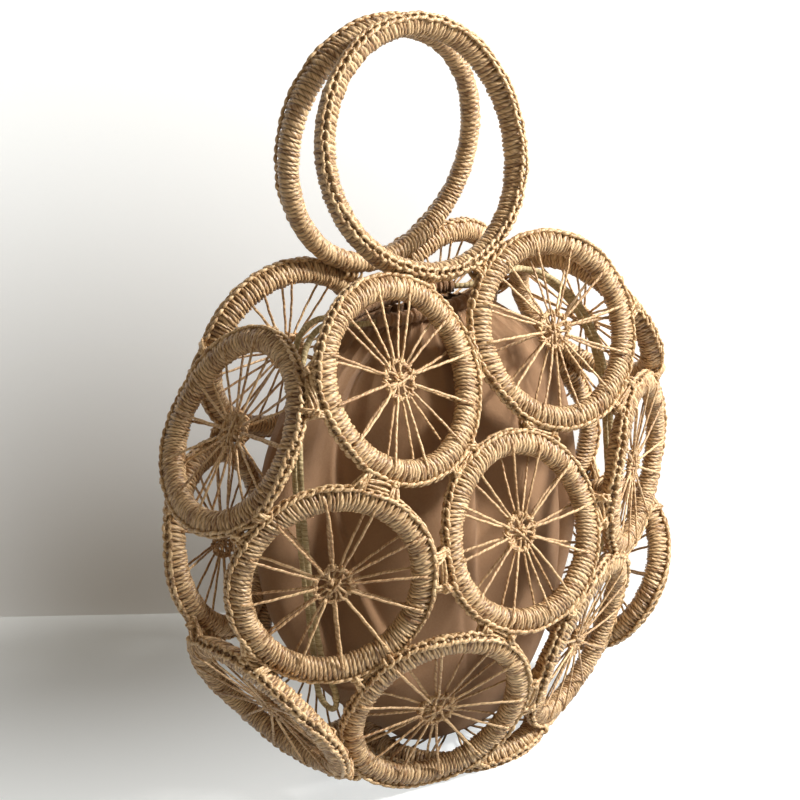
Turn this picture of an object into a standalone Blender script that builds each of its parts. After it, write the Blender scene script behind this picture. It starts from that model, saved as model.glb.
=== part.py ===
"""Net bag of nineteen spoked wheels wound with paper cord, laced edge to edge.

Seven wheels make the front, seven the back, four the sides and one the base. Two larger wound
rings are the handles, and a drawstring pouch stands inside. The bag is symmetric left to right
and front to back. X runs along its width, -Y is its front, and it stands on Z = 0.
"""
import math

import bmesh
import bpy
import numpy as np
from mathutils import Matrix, Vector

# Driving dimensions in metres
WHEEL_DIAMETER = 0.100  # over the chain-stitch edge
WINDING_THICKNESS = 0.010  # hoop core with the cord wound on it
EDGE_HEIGHT = 0.0015  # chain stitches that stand out of the winding
HANDLE_DIAMETER = 0.1314  # over the chain-stitch edge
HANDLE_THICKNESS = 0.010
HUB_DIAMETER = 0.016
HUB_THICKNESS = 0.0035
SPOKE_THICKNESS = 0.0016
TIE_THICKNESS = 0.006  # lacing between two wheels
POUCH_WALL = 0.0016
DRAWSTRING_DIAMETER = 0.0032
CASING_WALL = 0.001
CASING_PLAY = 0.0004  # room round the drawstring in its casing

# Clearances in metres
SEAT_GAP = 0.0003  # between pieces that touch
WHEEL_GAP = 0.0006  # between the closest two wheels
LASHING_GAP = 0.002  # between a handle and the wheels that it turns over
LASHING_PLAY = 0.0004  # between a handle and its lashings
FOOT_DEPTH = 0.0005  # flat worn under the base wheel
OVERRUN = 0.01  # a cutter runs this far past what it cuts
MERGE_DISTANCE = 0.00001  # where a turned ring closes on itself

# Counts
HOOP_STEPS = 20
HANDLE_STEPS = 32
TUBE_SIDES = 8
TIE_SIDES = 6
SPOKES = 12  # in each wheel, every other one on the front
SPOKE_SEAT_DEG = 45  # where a spoke meets the winding's section, from the wheel's plane
POUCH_STEPS = 28
CASING_STEPS = 12
RING_SAMPLES = 360  # places on a ring where its distance to another is measured
HALVINGS = 24  # of a range in the search for a size that fits
ROUTE_SAMPLES = 12  # between two points of a cord's route

# Wheel places as shares of the spread, with the turn and the lean of the outer face in degrees.
# Across is to the left, depth towards the front, and the other wheels mirror these.
CENTER_SHARES = {"across_share": 0, "depth_share": 0.645, "height_share": 0, "turn": 0, "lean": 12}
UPPER_SHARES = {"across_share": 0.505, "depth_share": 0.445, "height_share": 0.88, "turn": 6, "lean": 17}
MIDDLE_SHARES = {"across_share": 1.03, "depth_share": 0.46, "height_share": 0.03, "turn": -27.5, "lean": -6.5}
LOWER_SHARES = {"across_share": 0.51, "depth_share": 0.495, "height_share": -0.795, "turn": -20, "lean": -20.5}
UPPER_SIDE_SHARES = {"across_share": 1.165, "depth_share": 0, "height_share": 0.725, "turn": -90, "lean": 31}
LOWER_SIDE_SHARES = {"across_share": 1.15, "depth_share": 0, "height_share": -0.695, "turn": -90, "lean": -31}
BASE_SHARES = {"across_share": 0, "depth_share": 0, "height_share": -1.255, "turn": 0, "lean": -90}
HANDLE_ROOT_SHARE = 0.26  # depth of the handles' lowest point

# Pouch levels from the mouth down: height, half width and half depth as shares of the spread
POUCH_SHARES = [
    (1.05, 0.41, 0.21),
    (0.95, 0.58, 0.27),
    (0.80, 0.80, 0.35),
    (0.52, 1.00, 0.43),
    (0.12, 1.10, 0.47),
    (-0.28, 1.06, 0.47),
    (-0.64, 0.89, 0.41),
    (-0.95, 0.65, 0.32),
]
POUCH_FOOT_SHARES = (0.37, 0.20)  # half width and half depth of the flat bottom
CASING_SWEEP_DEG = 118  # part of the mouth's half round that the casing covers

# Drawstring loop on the left, from the casing's end down to its lowest point, as shares of the
# spread: across, half the distance between the two strands, how far in front of the bag's middle
# they hang, height above the casing
LOOP_SHARES = [
    (0.50, 0.055, 0, 0.035),
    (0.62, 0.05, 0.015, 0.05),
    (0.75, 0.042, 0.06, 0.015),
    (0.86, 0.035, 0.13, -0.08),
    (0.94, 0.028, 0.20, -0.22),
    (1.00, 0.023, 0.25, -0.42),
    (1.035, 0.021, 0.27, -0.70),
    (1.04, 0.021, 0.27, -1.00),
    (1.035, 0.022, 0.27, -1.30),
    (1.02, 0.035, 0.265, -1.50),
    (1.00, 0.062, 0.26, -1.60),
    (0.99, 0.075, 0.26, -1.68),
    (0.985, 0.055, 0.26, -1.75),
    (0.98, 0, 0.26, -1.78),
]
CORD_STEP_SHARE = 3  # distance between the points of a cord, in cord diameters
CORD_EXIT_SHARE = 3  # straight way out of the casing, in cord diameters

COLORS = {
    "paper cord": ((0.56, 0.38, 0.19), 0.62),
    "spoke cord": ((0.62, 0.44, 0.23), 0.6),
    "pouch cloth": ((0.33, 0.19, 0.11), 0.85),
    "casing cloth": ((0.29, 0.17, 0.10), 0.85),
    "drawstring": ((0.36, 0.29, 0.13), 0.75),
}

WHEEL_RADIUS = WHEEL_DIAMETER / 2 - EDGE_HEIGHT - WINDING_THICKNESS / 2
HANDLE_RADIUS = HANDLE_DIAMETER / 2 - EDGE_HEIGHT - HANDLE_THICKNESS / 2
CORD_RADIUS = DRAWSTRING_DIAMETER / 2
CASING_RADIUS = CORD_RADIUS + CASING_PLAY + CASING_WALL
TURNS_SAMPLED = np.linspace(0, 2 * math.pi, RING_SAMPLES, endpoint=False)


class Ring:
    """A wound ring: the centre line of its winding, the plane it lies in, and its thickness."""

    def __init__(self, center, turn, lean, radius, thickness):
        self.center = np.array(center, float)
        self.rotation = Matrix.Rotation(math.radians(turn), 3, "Z") @ Matrix.Rotation(
            math.radians(90 - lean), 3, "X"
        )
        self.radius = radius
        self.thickness = thickness

    def circle(self, radius):
        axes = np.array(self.rotation)
        outward = np.outer(np.cos(TURNS_SAMPLED), axes[:, 0]) + np.outer(np.sin(TURNS_SAMPLED), axes[:, 1])
        return self.center + radius * outward

    def surfaces(self):
        """The two circles that the surface follows, each with its distance from the surface."""
        edge_radius = self.radius + self.thickness / 2 + EDGE_HEIGHT
        return [(self.circle(self.radius), self.thickness / 2), (self.circle(edge_radius), 0)]

    def matrix(self):
        return Matrix.Translation(Vector(self.center)) @ self.rotation.to_4x4()


def nearest(first, second):
    """Where two rings come closest.

    gap is the clear gap between them, start the place in the first one's winding, end the place
    on the second that lies nearest to start, and reach how far from start its surface is.
    """
    gaps = []
    for points_a, depth_a in first.surfaces():
        for points_b, depth_b in second.surfaces():
            distances = np.linalg.norm(points_a[:, None] - points_b[None], axis=2)
            place = np.unravel_index(distances.argmin(), distances.shape)
            gaps.append((distances[place] - depth_a - depth_b, place[0]))
    gap, place = min(gaps)
    start = first.circle(first.radius)[place]
    ways = []
    for points, depth in second.surfaces():
        distances = np.linalg.norm(points - start, axis=1)
        ways.append((distances.min() - depth, tuple(points[distances.argmin()])))
    reach, end = min(ways)
    return {"gap": gap, "start": start, "end": np.array(end), "reach": reach}


def settle(clear_gap, wanted, low, high):
    """The smallest value between low and high whose clear gap is the wanted one, by halving."""
    for _ in range(HALVINGS):
        middle = (low + high) / 2
        if clear_gap(middle) < wanted:
            low = middle
        else:
            high = middle
    return high


def wheel_at(shares, spread, left=True, front=True):
    across = -shares["across_share"] if left else shares["across_share"]
    depth = -shares["depth_share"] if front else shares["depth_share"]
    turn = shares["turn"] if left else -shares["turn"]
    turn = turn if front else 180 - turn
    center = (across * spread, depth * spread, shares["height_share"] * spread)
    return Ring(center, turn, shares["lean"], WHEEL_RADIUS, WINDING_THICKNESS)


def wheels_at(spread):
    wheels = {"base": wheel_at(BASE_SHARES, spread)}
    for face, front in (("front", True), ("back", False)):
        wheels[f"{face}_center"] = wheel_at(CENTER_SHARES, spread, front=front)
        for side, left in (("left", True), ("right", False)):
            wheels[f"{face}_upper_{side}"] = wheel_at(UPPER_SHARES, spread, left, front)
            wheels[f"{face}_middle_{side}"] = wheel_at(MIDDLE_SHARES, spread, left, front)
            wheels[f"{face}_lower_{side}"] = wheel_at(LOWER_SHARES, spread, left, front)
    for side, left in (("left", True), ("right", False)):
        wheels[f"side_upper_{side}"] = wheel_at(UPPER_SIDE_SHARES, spread, left)
        wheels[f"side_lower_{side}"] = wheel_at(LOWER_SIDE_SHARES, spread, left)
    return wheels


def laced_pairs():
    """Names of the wheels that are laced to each other."""
    pairs = []
    for face in ("front", "back"):
        outer = ["upper_left", "upper_right", "middle_right", "lower_right", "lower_left", "middle_left"]
        for name, following in zip(outer, outer[1:] + outer[:1]):
            pairs.append((f"{face}_{name}", f"{face}_{following}"))
            pairs.append((f"{face}_{name}", f"{face}_center"))
        for side in ("left", "right"):
            pairs.append((f"side_upper_{side}", f"{face}_upper_{side}"))
            pairs.append((f"side_upper_{side}", f"{face}_middle_{side}"))
            pairs.append((f"side_lower_{side}", f"{face}_middle_{side}"))
            pairs.append((f"side_lower_{side}", f"{face}_lower_{side}"))
            pairs.append(("base", f"{face}_lower_{side}"))
    return pairs


def tightest_gap(spread):
    wheels = wheels_at(spread)
    return min(nearest(wheels[first], wheels[second])["gap"] for first, second in laced_pairs())


def handle_ring(root_height, root_depth, front):
    """A handle standing on its lowest point and leaning in until it meets the other at the top."""
    top_depth = HANDLE_THICKNESS / 2 + SEAT_GAP / 2
    lean = math.asin((root_depth - top_depth) / (2 * HANDLE_RADIUS))
    depth = root_depth - HANDLE_RADIUS * math.sin(lean)
    height = root_height + HANDLE_RADIUS * math.cos(lean)
    center = (0, -depth if front else depth, height)
    return Ring(center, 0 if front else 180, math.degrees(lean), HANDLE_RADIUS, HANDLE_THICKNESS)


def material(name):
    if name in bpy.data.materials:
        return bpy.data.materials[name]
    color, roughness = COLORS[name]
    made = bpy.data.materials.new(name)
    made.use_nodes = True
    shader = made.node_tree.nodes["Principled BSDF"]
    shader.inputs["Base Color"].default_value = (*color, 1)
    shader.inputs["Roughness"].default_value = roughness
    shader.inputs["Metallic"].default_value = 0
    made.diffuse_color = (*color, 1)
    return made


def add_object(name, data, collection, finish=None):
    made = bpy.data.objects.new(name, data)
    collection.objects.link(made)
    if finish:
        data.materials.append(finish)
    return made


def wound_ring_mesh(name, radius, thickness, steps):
    """A turned ring: a round winding whose outermost point is drawn out into the stitched edge."""
    profile = bmesh.new()
    corners = []
    for side in range(TUBE_SIDES):
        angle = -2 * math.pi * side / TUBE_SIDES
        reach = thickness / 2 + (EDGE_HEIGHT if side == 0 else 0)
        corners.append(profile.verts.new((radius + reach * math.cos(angle), 0, reach * math.sin(angle))))
    for corner, following in zip(corners, corners[1:] + corners[:1]):
        profile.edges.new((corner, following))
    outline = bpy.data.meshes.new(f"{name} profile")
    profile.to_mesh(outline)
    profile.free()
    turned = bpy.data.objects.new(f"{name} profile", outline)
    bpy.context.scene.collection.objects.link(turned)
    screw = turned.modifiers.new("turn", "SCREW")
    screw.axis = "Z"
    screw.steps = steps
    screw.render_steps = steps
    screw.use_merge_vertices = True
    screw.merge_threshold = MERGE_DISTANCE
    bpy.context.view_layer.update()
    depsgraph = bpy.context.evaluated_depsgraph_get()
    mesh = bpy.data.meshes.new_from_object(turned.evaluated_get(depsgraph))
    bpy.data.objects.remove(turned)
    mesh.name = name
    mesh.shade_smooth()
    mesh.set_sharp_from_angle(angle=math.radians(60))
    return mesh


def spokes_mesh():
    """A woven hub whose every other side face is drawn out into a spoke.

    The spokes lean to the front and to the back in turn, and end at the winding.
    """
    seat = WINDING_THICKNESS / 2 + SEAT_GAP + SPOKE_THICKNESS / 2
    end_radius = WHEEL_RADIUS - seat * math.cos(math.radians(SPOKE_SEAT_DEG))
    end_height = seat * math.sin(math.radians(SPOKE_SEAT_DEG))
    hub_radius = HUB_DIAMETER / 2
    web = bmesh.new()
    bmesh.ops.create_cone(
        web,
        cap_ends=True,
        segments=2 * SPOKES,
        radius1=hub_radius,
        radius2=hub_radius,
        depth=HUB_THICKNESS,
    )
    sides = [face for face in web.faces if abs(face.normal.z) < 0.5]
    sides.sort(key=lambda face: math.atan2(face.calc_center_median().y, face.calc_center_median().x))
    for number, root in enumerate(sides[::2]):
        outward = root.normal.copy()
        across = outward.cross(Vector((0, 0, 1)))
        end = outward * end_radius + Vector((0, 0, end_height if number % 2 else -end_height))
        drawn = bmesh.ops.extrude_discrete_faces(web, faces=[root])["faces"][0]
        middle = drawn.calc_center_median()
        for corner in drawn.verts:
            offset = corner.co - middle
            side = math.copysign(SPOKE_THICKNESS / 2, offset.dot(across))
            rise = math.copysign(SPOKE_THICKNESS / 2, offset.z)
            corner.co = end + across * side + Vector((0, 0, rise))
    bmesh.ops.recalc_face_normals(web, faces=web.faces)
    mesh = bpy.data.meshes.new("spokes")
    web.to_mesh(mesh)
    web.free()
    return mesh


def join_with(target, operand, operation):
    boolean = target.modifiers.new(operation.lower(), "BOOLEAN")
    boolean.operation = operation
    boolean.solver = "EXACT"
    boolean.object = operand
    operand.hide_render = True
    operand.display_type = "WIRE"


def tie(name, found, tip_gap, collection):
    """Lacing from the middle of one winding towards a neighbour: a round knot drawn out along its way."""
    way = Vector(found["end"] - found["start"])
    length = found["reach"] - tip_gap
    knot = bmesh.new()
    shape = Matrix.Diagonal((TIE_THICKNESS / 2, TIE_THICKNESS / 2, length / 2, 1))
    bmesh.ops.create_uvsphere(knot, u_segments=TIE_SIDES, v_segments=TIE_SIDES - 2, radius=1, matrix=shape)
    mesh = bpy.data.meshes.new(name)
    knot.to_mesh(mesh)
    knot.free()
    made = add_object(name, mesh, collection)
    made.location = Vector(found["start"]) + way.normalized() * length / 2
    made.rotation_euler = way.to_track_quat("Z", "Y").to_euler()
    return made


def mouth_point(half_width, half_depth, turn):
    return half_width * math.cos(turn), half_depth * math.sin(turn)


def pouch_mesh(spread, foot_height):
    """An oval sleeve lofted from the mouth down to a flat bottom; its wall goes inwards."""
    levels = [(height * spread, width * spread, depth * spread) for height, width, depth in POUCH_SHARES]
    levels.append((foot_height, POUCH_FOOT_SHARES[0] * spread, POUCH_FOOT_SHARES[1] * spread))
    cloth = bmesh.new()
    rings = []
    for height, half_width, half_depth in levels:
        turns = [2 * math.pi * step / POUCH_STEPS for step in range(POUCH_STEPS)]
        outline = [mouth_point(half_width, half_depth, turn) for turn in turns]
        rings.append([cloth.verts.new((across, depth, height)) for across, depth in outline])
    for upper, lower in zip(rings, rings[1:]):
        for step in range(POUCH_STEPS):
            following = (step + 1) % POUCH_STEPS
            cloth.faces.new((upper[step], lower[step], lower[following], upper[following]))
    cloth.faces.new(list(reversed(rings[-1])))
    mesh = bpy.data.meshes.new("pouch")
    cloth.to_mesh(mesh)
    cloth.free()
    mesh.shade_smooth()
    return mesh


def cord_curve(name, points, radius, caps):
    curve = bpy.data.curves.new(name, "CURVE")
    curve.dimensions = "3D"
    curve.bevel_depth = radius
    curve.bevel_resolution = 2
    curve.use_fill_caps = caps
    spline = curve.splines.new("POLY")
    spline.points.add(len(points) - 1)
    for place, point in zip(spline.points, points):
        place.co = (*point, 1)
    return curve


def smooth_route(points, step):
    """Points at even steps along a smooth curve through the given ones."""
    knots = np.array(points, float)
    padded = np.vstack([2 * knots[0] - knots[1], knots, 2 * knots[-1] - knots[-2]])
    stretches = []
    shares = np.linspace(0, 1, ROUTE_SAMPLES, endpoint=False)[:, None]
    for before, start, end, after in zip(padded, padded[1:], padded[2:], padded[3:]):
        bend = 2 * start + (end - before) * shares
        bend += (2 * before - 5 * start + 4 * end - after) * shares**2
        bend += (3 * start - before - 3 * end + after) * shares**3
        stretches.append(bend / 2)
    dense = np.vstack([*stretches, knots[-1:]])
    lengths = np.concatenate([[0], np.cumsum(np.linalg.norm(np.diff(dense, axis=0), axis=1))])
    stops = np.linspace(0, lengths[-1], max(2, round(lengths[-1] / step)) + 1)
    return np.stack([np.interp(stops, lengths, dense[:, axis]) for axis in range(3)], axis=1)


def build_wheels(wheels, handles, parts, cutters):
    hoop = wound_ring_mesh("hoop", WHEEL_RADIUS, WINDING_THICKNESS, HOOP_STEPS)
    web = spokes_mesh()
    hoop.materials.append(material("paper cord"))
    web.materials.append(material("spoke cord"))
    hoops = {}
    for name, wheel in wheels.items():
        hoops[name] = add_object(f"{name}_hoop", hoop, parts)
        hoops[name].matrix_world = wheel.matrix()
        add_object(f"{name}_spokes", web, parts).matrix_world = wheel.matrix()
    for first, second in laced_pairs():
        found = nearest(wheels[first], wheels[second])
        join_with(hoops[first], tie(f"{first} to {second}", found, SEAT_GAP, cutters), "UNION")
    for face in ("front", "back"):
        for side in ("left", "right"):
            upper = f"{face}_upper_{side}"
            found = nearest(wheels[upper], handles[face])
            join_with(hoops[upper], tie(f"{upper} to handle", found, LASHING_PLAY, cutters), "UNION")
    width = WHEEL_DIAMETER + OVERRUN
    below = bmesh.new()
    bmesh.ops.create_cube(below, size=1)
    bmesh.ops.scale(below, verts=below.verts, vec=(width, width, OVERRUN))
    bmesh.ops.translate(below, verts=below.verts, vec=(0, 0, -OVERRUN / 2))
    ground = bpy.data.meshes.new("ground")
    below.to_mesh(ground)
    below.free()
    join_with(hoops["base"], add_object("ground", ground, cutters), "DIFFERENCE")


def build_handles(wheels, handles, parts):
    """Each handle turns about the line through the two places where it is lashed to a wheel's rim."""
    finish = material("paper cord")
    for face, ring in handles.items():
        lashed = nearest(wheels[f"{face}_upper_left"], ring)["start"]
        hinge = bpy.data.objects.new(f"{face}_handle_hinge", None)
        parts.objects.link(hinge)
        hinge.location = (0, lashed[1], lashed[2])
        mesh = wound_ring_mesh(f"{face} handle", ring.radius, ring.thickness, HANDLE_STEPS)
        handle = add_object(f"{face}_handle", mesh, parts, finish)
        handle.parent = hinge
        handle.matrix_local = Matrix.Translation(-hinge.location) @ ring.matrix()


def build_pouch(spread, base, parts):
    foot_height = base.center[2] + WINDING_THICKNESS / 2 + SEAT_GAP
    lift = base.center[2] - BASE_SHARES["height_share"] * spread
    pouch = add_object("pouch", pouch_mesh(spread, foot_height - lift), parts, material("pouch cloth"))
    pouch.location = (0, 0, lift)
    wall = pouch.modifiers.new("wall", "SOLIDIFY")
    wall.thickness = POUCH_WALL
    wall.offset = -1

    mouth_height, mouth_width, mouth_depth = [share * spread for share in POUCH_SHARES[0]]
    channel_height = lift + mouth_height + SEAT_GAP + CASING_RADIUS
    casing_finish = material("casing cloth")
    cord_finish = material("drawstring")
    sweep = math.radians(CASING_SWEEP_DEG)
    cord_step = CORD_STEP_SHARE * DRAWSTRING_DIAMETER
    exits = {}
    for face, middle in (("front", -math.pi / 2), ("back", math.pi / 2)):
        turns = np.linspace(middle - sweep / 2, middle + sweep / 2, CASING_STEPS + 1)
        seam = POUCH_WALL / 2
        channel = [
            (*mouth_point(mouth_width - seam, mouth_depth - seam, turn), channel_height) for turn in turns
        ]
        casing = cord_curve(f"{face}_casing", channel, CASING_RADIUS - CASING_WALL, caps=False)
        hem = add_object(f"{face}_casing", casing, parts, casing_finish)
        cloth = hem.modifiers.new("cloth", "SOLIDIFY")
        cloth.thickness = CASING_WALL
        cloth.offset = 1
        run = cord_curve(f"{face}_drawstring", channel, CORD_RADIUS, caps=True)
        add_object(f"{face}_drawstring", run, parts, cord_finish)
        for end, inner_point in ((channel[0], channel[1]), (channel[-1], channel[-2])):
            outward = np.subtract(end, inner_point)
            side = "left" if end[0] < 0 else "right"
            exits[face, side] = (np.array(end), outward / np.linalg.norm(outward))

    for side, sign in (("left", -1), ("right", 1)):
        strands = {"front": [], "back": []}
        for across, half, forward, height in LOOP_SHARES:
            for face, way in (("front", -1), ("back", 1)):
                depth = way * half - forward
                place = (sign * across * spread, depth * spread, channel_height + height * spread)
                strands[face].append(place)
        halves = {}
        for face, strand in strands.items():
            end, outward = exits[face, side]
            start = end + outward * SEAT_GAP
            clear = start + outward * CORD_EXIT_SHARE * DRAWSTRING_DIAMETER
            halves[face] = [start, clear, *strand]
        points = smooth_route([*halves["front"], *halves["back"][-2::-1]], cord_step)
        loop = cord_curve(f"{side}_drawstring_loop", points, CORD_RADIUS, caps=True)
        add_object(f"{side}_drawstring_loop", loop, parts, cord_finish)


def build():
    for existing in list(bpy.data.objects):
        bpy.data.objects.remove(existing)
    parts = bpy.data.collections.new("rope_wheel_bag")
    cutters = bpy.data.collections.new("cutters")
    bpy.context.scene.collection.children.link(parts)
    bpy.context.scene.collection.children.link(cutters)

    spread = settle(tightest_gap, WHEEL_GAP, WHEEL_DIAMETER / 2, WHEEL_DIAMETER * 2)
    wheels = wheels_at(spread)
    root_depth = HANDLE_ROOT_SHARE * spread
    low = UPPER_SHARES["height_share"] * spread

    def lashing_gap(root_height):
        return nearest(wheels["front_upper_left"], handle_ring(root_height, root_depth, True))["gap"]

    root_height = settle(lashing_gap, LASHING_GAP, low, low + WHEEL_DIAMETER)
    handles = {
        "front": handle_ring(root_height, root_depth, True),
        "back": handle_ring(root_height, root_depth, False),
    }

    lift = WINDING_THICKNESS / 2 - FOOT_DEPTH - wheels["base"].center[2]
    for ring in [*wheels.values(), *handles.values()]:
        ring.center = ring.center + (0, 0, lift)
    build_wheels(wheels, handles, parts, cutters)
    build_handles(wheels, handles, parts)
    build_pouch(spread, wheels["base"], parts)


build()
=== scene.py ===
import math
from itertools import combinations
import bpy
import numpy as np
from mathutils import Matrix, Vector


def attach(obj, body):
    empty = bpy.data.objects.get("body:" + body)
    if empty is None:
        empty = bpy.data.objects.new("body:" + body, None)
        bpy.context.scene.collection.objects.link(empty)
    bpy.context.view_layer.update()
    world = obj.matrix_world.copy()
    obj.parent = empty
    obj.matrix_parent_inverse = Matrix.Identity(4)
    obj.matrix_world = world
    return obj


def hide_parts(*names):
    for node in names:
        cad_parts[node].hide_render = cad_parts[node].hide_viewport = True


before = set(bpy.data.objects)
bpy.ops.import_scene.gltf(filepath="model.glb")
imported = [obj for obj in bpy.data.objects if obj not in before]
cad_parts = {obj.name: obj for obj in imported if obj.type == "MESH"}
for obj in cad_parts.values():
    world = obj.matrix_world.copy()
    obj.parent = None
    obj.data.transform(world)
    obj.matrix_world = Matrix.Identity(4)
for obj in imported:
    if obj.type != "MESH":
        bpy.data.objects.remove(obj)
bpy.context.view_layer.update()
scene = bpy.context.scene
scene.view_settings.view_transform = "Standard"

# Camera. It stands in front of the bag's left side and a little above it, nearly a metre away.
# Its place comes from the ellipses that the wheels and the handles make in the photograph.
CAMERA_AZIMUTH_DEG = -38.69
CAMERA_ELEVATION_DEG = 17.32
CAMERA_ROLL_DEG = -5.18
CAMERA_DISTANCE = 0.916
CAMERA_RIGHT = -0.0178
CAMERA_UP = 0.0548
CENTER_WHEEL_HEIGHT = 0.1307
IMAGE_PIXELS = 800
FOCAL_PIXELS = 1750

azimuth = math.radians(CAMERA_AZIMUTH_DEG)
elevation = math.radians(CAMERA_ELEVATION_DEG)
roll = math.radians(CAMERA_ROLL_DEG)
camera_back = Vector((
    math.sin(azimuth) * math.cos(elevation),
    -math.cos(azimuth) * math.cos(elevation),
    math.sin(elevation),
))
level_right = Vector((math.cos(azimuth), math.sin(azimuth), 0))
level_up = camera_back.cross(level_right)
camera_right = math.cos(roll) * level_right + math.sin(roll) * level_up
camera_up = math.cos(roll) * level_up - math.sin(roll) * level_right
camera_place = Vector((0, 0, CENTER_WHEEL_HEIGHT)) + camera_back * CAMERA_DISTANCE
camera_place += camera_right * CAMERA_RIGHT + camera_up * CAMERA_UP

camera_data = bpy.data.cameras.new("camera")
camera_data.sensor_width = 36
camera_data.lens = camera_data.sensor_width * FOCAL_PIXELS / IMAGE_PIXELS
camera = bpy.data.objects.new("camera", camera_data)
camera_axes = Matrix((camera_right, camera_up, camera_back)).transposed().to_4x4()
camera.matrix_world = Matrix.Translation(camera_place) @ camera_axes
scene.collection.objects.link(camera)
scene.camera = camera


# Drawstring. One limp olive-brown cord, braided from cotton, runs in the pouch's hem and hangs out
# of it as a loop at each side. The loops hang down between the pouch and the side wheels.
CORD_DIAMETER = 0.0032
HEM_HEIGHT = 0.2395808
LOOP_START = (0.0348999, 0.0102929, 0.0, HEM_HEIGHT)
LOOP_CLEAR = (0.0427600, 0.0047900, 0.0, HEM_HEIGHT)
# across, half the distance between the two strands, forward of the bag's middle, height
LOOP_ROUTE = [
    (0.0503, 0.0055, 0.0000, 0.2431),
    (0.0623, 0.0050, 0.0015, 0.2446),
    (0.0754, 0.0042, 0.0060, 0.2411),
    (0.0865, 0.0035, 0.0131, 0.2315),
    (0.0945, 0.0028, 0.0201, 0.2175),
    (0.1006, 0.0023, 0.0251, 0.1973),
    (0.1041, 0.0021, 0.0272, 0.1692),
    (0.1046, 0.0021, 0.0272, 0.1390),
    (0.1041, 0.0022, 0.0272, 0.1089),
    (0.1026, 0.0035, 0.0266, 0.0887),
    (0.1006, 0.0062, 0.0261, 0.0787),
    (0.0995, 0.0075, 0.0261, 0.0706),
    (0.0990, 0.0055, 0.0261, 0.0636),
    (0.0985, 0.0000, 0.0261, 0.0606),
]
CORD_SIDES = 12
CORD_PLIES = 4
CORD_PLY_PITCH = 0.009
CORD_PLY_RISE = 0.10
CORD_STATION = 0.0011
CORD_UP = (0.0, 0.3, 1.0)
CORD_SEED = 11
CURVE_STEPS = 24


def smooth_route(points, step):
    """Points at even steps along a Catmull-Rom curve: on each stretch it is the cubic through both
    ends whose slope at a point is half the way between that point's neighbours."""
    knots = np.array(points, float)
    padded = np.vstack([2 * knots[0] - knots[1], knots, 2 * knots[-1] - knots[-2]])
    share = np.linspace(0, 1, CURVE_STEPS, endpoint=False)[:, None]
    stretches = []
    for before, start, end, after in zip(padded, padded[1:], padded[2:], padded[3:]):
        bend = 2 * start + (end - before) * share
        bend += (2 * before - 5 * start + 4 * end - after) * share**2
        bend += (3 * start - before - 3 * end + after) * share**3
        stretches.append(bend / 2)
    dense = np.vstack([*stretches, knots[-1:]])
    lengths = np.concatenate([[0], np.cumsum(np.linalg.norm(np.diff(dense, axis=0), axis=1))])
    stops = np.linspace(0, lengths[-1], max(2, round(lengths[-1] / step)) + 1)
    return np.stack([np.interp(stops, lengths, dense[:, axis]) for axis in range(3)], axis=1)


def unit(vectors):
    return vectors / np.maximum(np.linalg.norm(vectors, axis=-1, keepdims=True), 1e-12)


def strands(paths, rise, radius, sides, flatness=1.0, closed=False):
    """Points on the skin of cords, [cord, station, side]: each station is an oval of the radius
    across the cord and of radius x flatness along rise, square to the path's own direction."""
    if closed:
        tangent = np.roll(paths, -1, axis=1) - np.roll(paths, 1, axis=1)
    else:
        tangent = np.gradient(paths, axis=1)
    tangent = unit(tangent)
    side = unit(np.cross(np.broadcast_to(rise, paths.shape), tangent))
    up = np.cross(tangent, side)
    turn = 2 * math.pi * np.arange(sides) / sides
    radius = np.broadcast_to(radius, paths.shape[:2])[..., None, None]
    across = np.cos(turn)[:, None] * side[:, :, None, :]
    above = np.sin(turn)[:, None] * up[:, :, None, :] * flatness
    return paths[:, :, None, :] + radius * (across + above)


def cord_faces(count, stations, sides, closed=False):
    """Corner numbers of the quads on strands, outward, with each corner's station and side before
    they wrap round. The caps of open cords come second."""
    last = stations if closed else stations - 1
    cord, row, place = np.meshgrid(np.arange(count), np.arange(last), np.arange(sides), indexing="ij")
    rows = np.stack([row, row, row + 1, row + 1], axis=-1).reshape(-1, 4)
    places = np.stack([place, place + 1, place + 1, place], axis=-1).reshape(-1, 4)
    cords = np.repeat(cord.reshape(-1, 1), 4, axis=1)
    faces = (cords * stations + rows % stations) * sides + places % sides
    if closed:
        return faces, rows, places, cords, np.zeros((0, sides), int)
    starts = np.arange(count)[:, None] * stations * sides
    first = starts + np.arange(sides)[::-1]
    final = starts + (stations - 1) * sides + np.arange(sides)
    return faces, rows, places, cords, np.vstack([first, final])


def add_mesh(name, points, faces, caps, lay, tone, shade, finish):
    """A mesh object. lay is the UV map that follows the cord: x metres along it and y the number
    of the cord plus the place round it. tone is a random share for each point, and shade is painted
    shade by how deep a point lies between its neighbours, from 0 on top to 1 in a gap."""
    mesh = bpy.data.meshes.new(name)
    mesh.from_pydata(points.reshape(-1, 3).tolist(), [], faces.tolist() + caps.tolist())
    uv = np.zeros((faces.size + caps.size, 2), np.float32)
    uv[: faces.size] = lay.reshape(-1, 2)
    mesh.uv_layers.new(name="lay").data.foreach_set("uv", uv.ravel())
    for title, values in (("tone", tone), ("shade", shade)):
        attribute = mesh.attributes.new(title, "FLOAT", "POINT")
        attribute.data.foreach_set("value", values.astype(np.float32).ravel())
    mesh.shade_smooth()
    mesh.materials.append(finish)
    made = bpy.data.objects.new(name, mesh)
    scene.collection.objects.link(made)
    return made


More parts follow.
